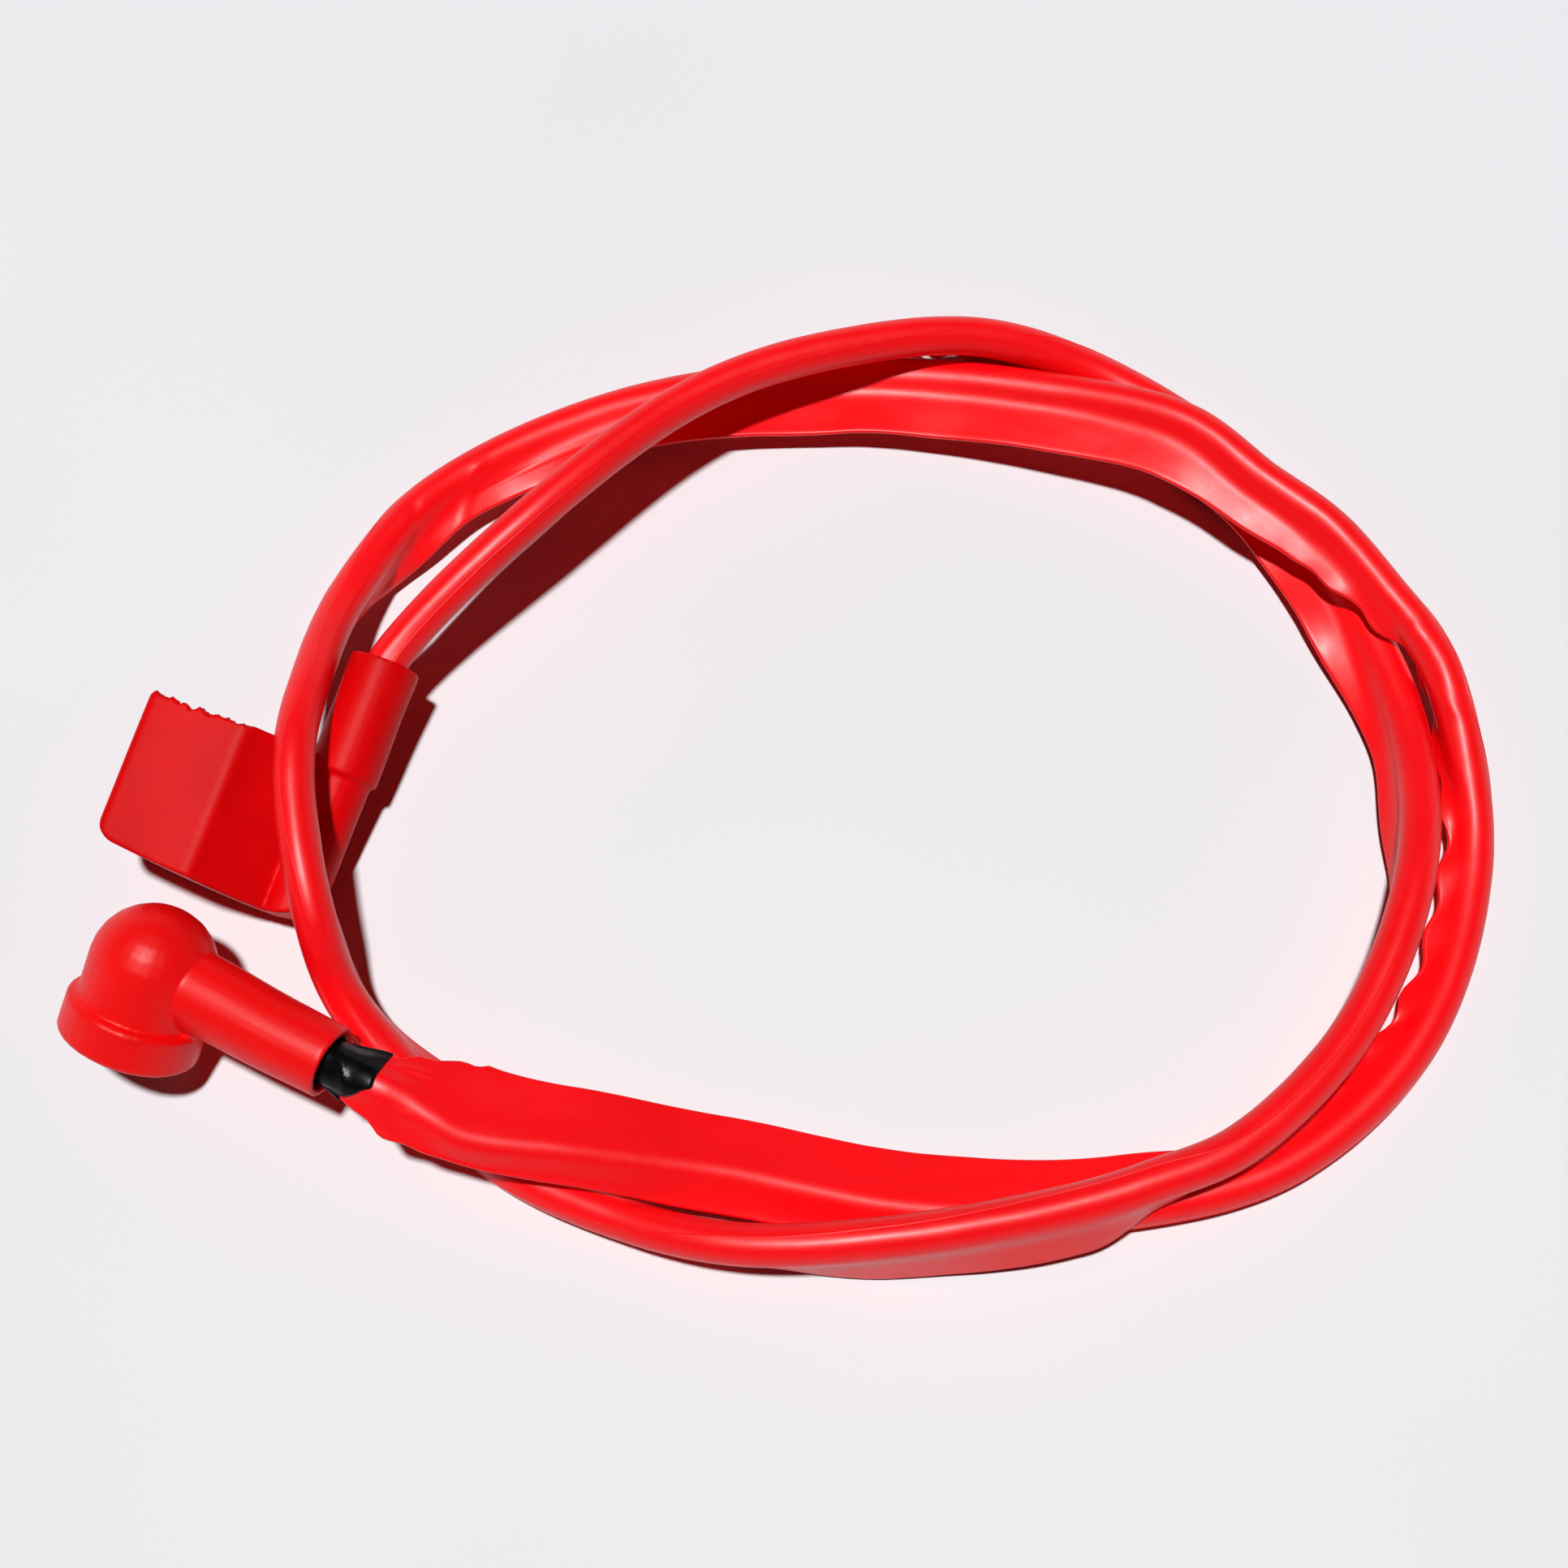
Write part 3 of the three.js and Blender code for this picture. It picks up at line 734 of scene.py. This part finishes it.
def softenedCopy(nodeName, newName):
    node = frame["nodes"][nodeName]
    pickOnly(node)
    bpy.ops.object.duplicate()
    made = bpy.context.object
    made.name = newName
    made.data.name = newName
    for key in list(made.keys()):
        del made[key]
    bpy.ops.object.parent_clear(type="CLEAR_KEEP_TRANSFORM")
    bpy.ops.object.mode_set(mode="EDIT")
    bpy.ops.mesh.select_all(action="SELECT")
    bpy.ops.mesh.remove_doubles(threshold=0.00002)
    bpy.ops.mesh.normals_make_consistent(inside=False)
    bpy.ops.object.mode_set(mode="OBJECT")
    remesh = made.modifiers.new("moulded", "REMESH")
    remesh.mode = "VOXEL"
    remesh.voxel_size = moulding["voxel"]
    bpy.ops.object.modifier_apply(modifier=remesh.name)
    smooth = made.modifiers.new("softened", "SMOOTH")
    smooth.factor = moulding["factor"]
    smooth.iterations = moulding["smoothing"]
    bpy.ops.object.modifier_apply(modifier=smooth.name)
    normals = [vertex.normal.copy() for vertex in made.data.vertices]
    for vertex, normal in zip(made.data.vertices, normals):
        dent = noise.noise(vertex.co * moulding["dentsPerMetre"]) * moulding["dent"] * mm
        vertex.co += normal * dent
        vertex.co.z = max(vertex.co.z, floorGap)
    smoothShade(made)
    print(newName, len(made.data.polygons), "faces")
    return made


def tearRim(made):
    # The box was cut open roughly, so its rim is ragged
    inverse = coverMatrix.inverted()
    cut = coverEnd["hoodLength"] / mm
    for vertex in made.data.vertices:
        local = inverse @ vertex.co / mm
        near = ease(cut - tear["reach"], cut - tear["deepest"], local.y)
        if near > 0 and local.x < tear["across"]:
            rough = noise.noise(local / tear["pitch"])
            rough += tear["fineShare"] * noise.noise(local * tear["fine"])
            local.y += near * tear["depth"] * (rough - tear["inward"])
            vertex.co = coverMatrix @ (local * mm)


coverShell = softenedCopy("terminal_cover", "red_cover")
tearRim(coverShell)
bootShell = softenedCopy("elbow_boot", "red_boot")


# Materials: a broad pattern for the colour and a fine one, if any, for the gloss and the surface.
# A pattern is scale, detail and roughness, relief is strength and depth in metres.
sleeveLook = {
    "dark": (0.88, 0.001, 0.004),
    "light": (0.96, 0.002, 0.006),
    "broad": (60, 4, 0.5),
    "fine": (380, 3, 0.5),
    "rough": (0.32, 0.42),
    "shine": 0.34,
    "relief": (0.2, 0.0001),
}
coverLook = {
    "dark": (0.62, 0.0005, 0.0015),
    "light": (0.74, 0.001, 0.003),
    "broad": (90, 4, 0.5),
    "fine": (1400, 4, 0.6),
    "rough": (0.4, 0.5),
    "shine": 0.08,
    "relief": (0.3, 0.00006),
}
bootLook = {
    "dark": (0.82, 0.001, 0.0015),
    "light": (0.90, 0.002, 0.003),
    "broad": (90, 4, 0.5),
    "fine": (1400, 4, 0.6),
    "rough": (0.36, 0.46),
    "shine": 0.25,
    "relief": (0.3, 0.00006),
}
tapeLook = {
    "dark": (0.001, 0.001, 0.001),
    "light": (0.003, 0.003, 0.004),
    "broad": (300, 3, 0.5),
    "rough": (0.2, 0.32),
    "shine": 0.1,
    "relief": (0.1, 0.0001),
}
wireLook = {
    "dark": (0.42, 0.006, 0.010),
    "light": (0.52, 0.010, 0.016),
    "broad": (200, 3, 0.5),
    "rough": 0.42,
    "shine": 0.5,
    "relief": (0.2, 0.0001),
}
copperLook = {
    "dark": (0.62, 0.27, 0.13),
    "light": (0.80, 0.42, 0.24),
    "broad": (500, 4, 0.5),
    "rough": (0.25, 0.4),
    "shine": 0.5,
    "metallic": 1.0,
    "relief": (0.2, 0.00008),
}
tinnedLook = {
    "dark": (0.55, 0.55, 0.54),
    "light": (0.78, 0.78, 0.76),
    "broad": (700, 4, 0.5),
    "rough": (0.22, 0.38),
    "shine": 0.5,
    "metallic": 1.0,
    "relief": (0.2, 0.00008),
}
paperLook = {
    "dark": (0.76, 0.765, 0.79),
    "light": (0.80, 0.80, 0.82),
    "broad": (4, 3, 0.5),
    "rough": 0.6,
    "shine": 0.0,
}


def addNoise(nodes, links, pattern):
    texture = nodes.new("ShaderNodeTexNoise")
    for socket, value in zip(("Scale", "Detail", "Roughness"), pattern):
        texture.inputs[socket].default_value = value
    links.new(nodes.new("ShaderNodeTexCoord").outputs["Object"], texture.inputs["Vector"])
    return texture.outputs["Fac"]


def addRange(nodes, links, value, low, high):
    ranged = nodes.new("ShaderNodeMapRange")
    ranged.inputs["To Min"].default_value = low
    ranged.inputs["To Max"].default_value = high
    links.new(value, ranged.inputs["Value"])
    return ranged.outputs["Result"]


def addRamp(nodes, links, value, stops):
    ramp = nodes.new("ShaderNodeValToRGB")
    elements = ramp.color_ramp.elements
    while len(elements) < len(stops):
        elements.new(0.5)
    for element, (place, colour) in zip(elements, stops):
        element.position = place
        element.color = (*colour, 1)
    links.new(value, ramp.inputs["Fac"])
    return ramp.outputs["Color"]


def addRelief(nodes, links, shader, height, strength, depth):
    bump = nodes.new("ShaderNodeBump")
    bump.inputs["Strength"].default_value = strength
    bump.inputs["Distance"].default_value = depth
    links.new(height, bump.inputs["Height"])
    links.new(bump.outputs["Normal"], shader.inputs["Normal"])


def makeMaterial(name, look):
    material = bpy.data.materials.new(name)
    material.use_nodes = True
    nodes, links = material.node_tree.nodes, material.node_tree.links
    shader = nodes["Principled BSDF"]
    broad = addNoise(nodes, links, look["broad"])
    colour = addRamp(nodes, links, broad, [(0.3, look["dark"]), (0.7, look["light"])])
    links.new(colour, shader.inputs["Base Color"])
    fine = addNoise(nodes, links, look["fine"]) if "fine" in look else broad
    if isinstance(look["rough"], tuple):
        links.new(addRange(nodes, links, fine, *look["rough"]), shader.inputs["Roughness"])
    else:
        shader.inputs["Roughness"].default_value = look["rough"]
    shader.inputs["Specular IOR Level"].default_value = look["shine"]
    shader.inputs["Metallic"].default_value = look.get("metallic", 0.0)
    if "relief" in look:
        addRelief(nodes, links, shader, fine, *look["relief"])
    return material


def finish(piece, material, slotName, *nodes):
    piece.data.materials.clear()
    piece.data.materials.append(material)
    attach(piece, "root")
    if nodes:
        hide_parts(*nodes)


finish(sleeve, makeMaterial("glossyRedVinyl", sleeveLook), "sleeve_vinyl", "sleeve")
finish(wire, makeMaterial("wireInsulation", wireLook), "insulation_vinyl", "wire_insulation")
finish(copper, makeMaterial("brightCopper", copperLook), "copper", "copper_conductor")
finish(blackTape, makeMaterial("shinyBlackTape", tapeLook), "tape_vinyl", "tape_band")
finish(coverShell, makeMaterial("satinCoverVinyl", coverLook), "cover_vinyl", "terminal_cover")
finish(bootShell, makeMaterial("satinBootVinyl", bootLook), "boot_vinyl", "elbow_boot")
tinned = makeMaterial("tinnedCopper", tinnedLook)
for nodeName in ("battery_terminal", "starter_terminal"):
    node = frame["nodes"][nodeName]
    node.data.materials.clear()
    node.data.materials.append(tinned)
print("materials set")


# The two cords: the lead's insulation and its sleeve
def pathBetween(start, end):
    distances = distancesBetween(start, end, 4 * mm)
    return [tuple(route.station(distance)["centre"]) for distance in distances]


def widestSleeve():
    distances = distancesBetween(sleeveStart, sleeveEnd, 5 * mm)
    stations = [sleeveStation(distance) for distance in distances]
    return max(station["fin"] + station["heel"] for station in stations)


widestSleeve()
pathBetween(sleeveStart, sleeveEnd)
pathBetween(bareEnd + 0.0003, route.length - bareEnd - 0.0003)


# Floor and light
def addFloor():
    bpy.ops.object.select_all(action="DESELECT")
    bpy.ops.mesh.primitive_circle_add(vertices=96, radius=3, fill_type="NGON", location=(0, 0, 0))
    floor = bpy.context.object
    floor.name = "paleFloor"
    floor.data.materials.append(makeMaterial("palePaper", paperLook))


lights = {
    "direction": (-0.09, -0.05, 0.99),
    "distance": 1.0,
    "spread": 4,  # degrees that the key light is across
    "power": 3.35,
    "ambient": 0.015,  # what the world adds to matt surfaces
    "seen": 1.0,
    # what shiny surfaces see, from the horizon up to overhead
    "sky": [(0.0, 1.0), (0.3, 0.9), (0.6, 0.12), (1.0, 0.02)],
}


def maximum(nodes, links, first, second):
    node = nodes.new("ShaderNodeMath")
    node.operation = "MAXIMUM"
    links.new(first, node.inputs[0])
    links.new(second, node.inputs[1])
    return node.outputs[0]


def addLights():
    direction = Vector(lights["direction"]).normalized()
    bpy.ops.object.light_add(type="SUN", location=direction * lights["distance"])
    key = bpy.context.object
    key.name = "keyLight"
    key.rotation_euler = direction.to_track_quat("Z", "Y").to_euler()
    key.data.angle = math.radians(lights["spread"])
    key.data.energy = lights["power"]
    world = bpy.data.worlds.new("studio")
    bpy.context.scene.world = world
    world.use_nodes = True
    nodes, links = world.node_tree.nodes, world.node_tree.links
    background = nodes["Background"]
    rays = nodes.new("ShaderNodeLightPath").outputs
    split = nodes.new("ShaderNodeSeparateXYZ")
    links.new(nodes.new("ShaderNodeTexCoord").outputs["Generated"], split.inputs["Vector"])
    sky = addRamp(nodes, links, split.outputs["Z"], [(at, (v, v, v)) for at, v in lights["sky"]])
    colour = nodes.new("ShaderNodeMixRGB")
    colour.inputs["Color2"].default_value = (1, 1, 1, 1)
    links.new(rays["Is Camera Ray"], colour.inputs["Fac"])
    links.new(sky, colour.inputs["Color1"])
    links.new(colour.outputs["Color"], background.inputs["Color"])
    seen = maximum(nodes, links, rays["Is Camera Ray"], rays["Is Glossy Ray"])
    seen = maximum(nodes, links, seen, rays["Is Transmission Ray"])
    strength = addRange(nodes, links, seen, lights["ambient"], lights["seen"])
    links.new(strength, background.inputs["Strength"])
    bpy.context.scene.view_settings.view_transform = "Standard"


addFloor()
addLights()
print("floor and light set")
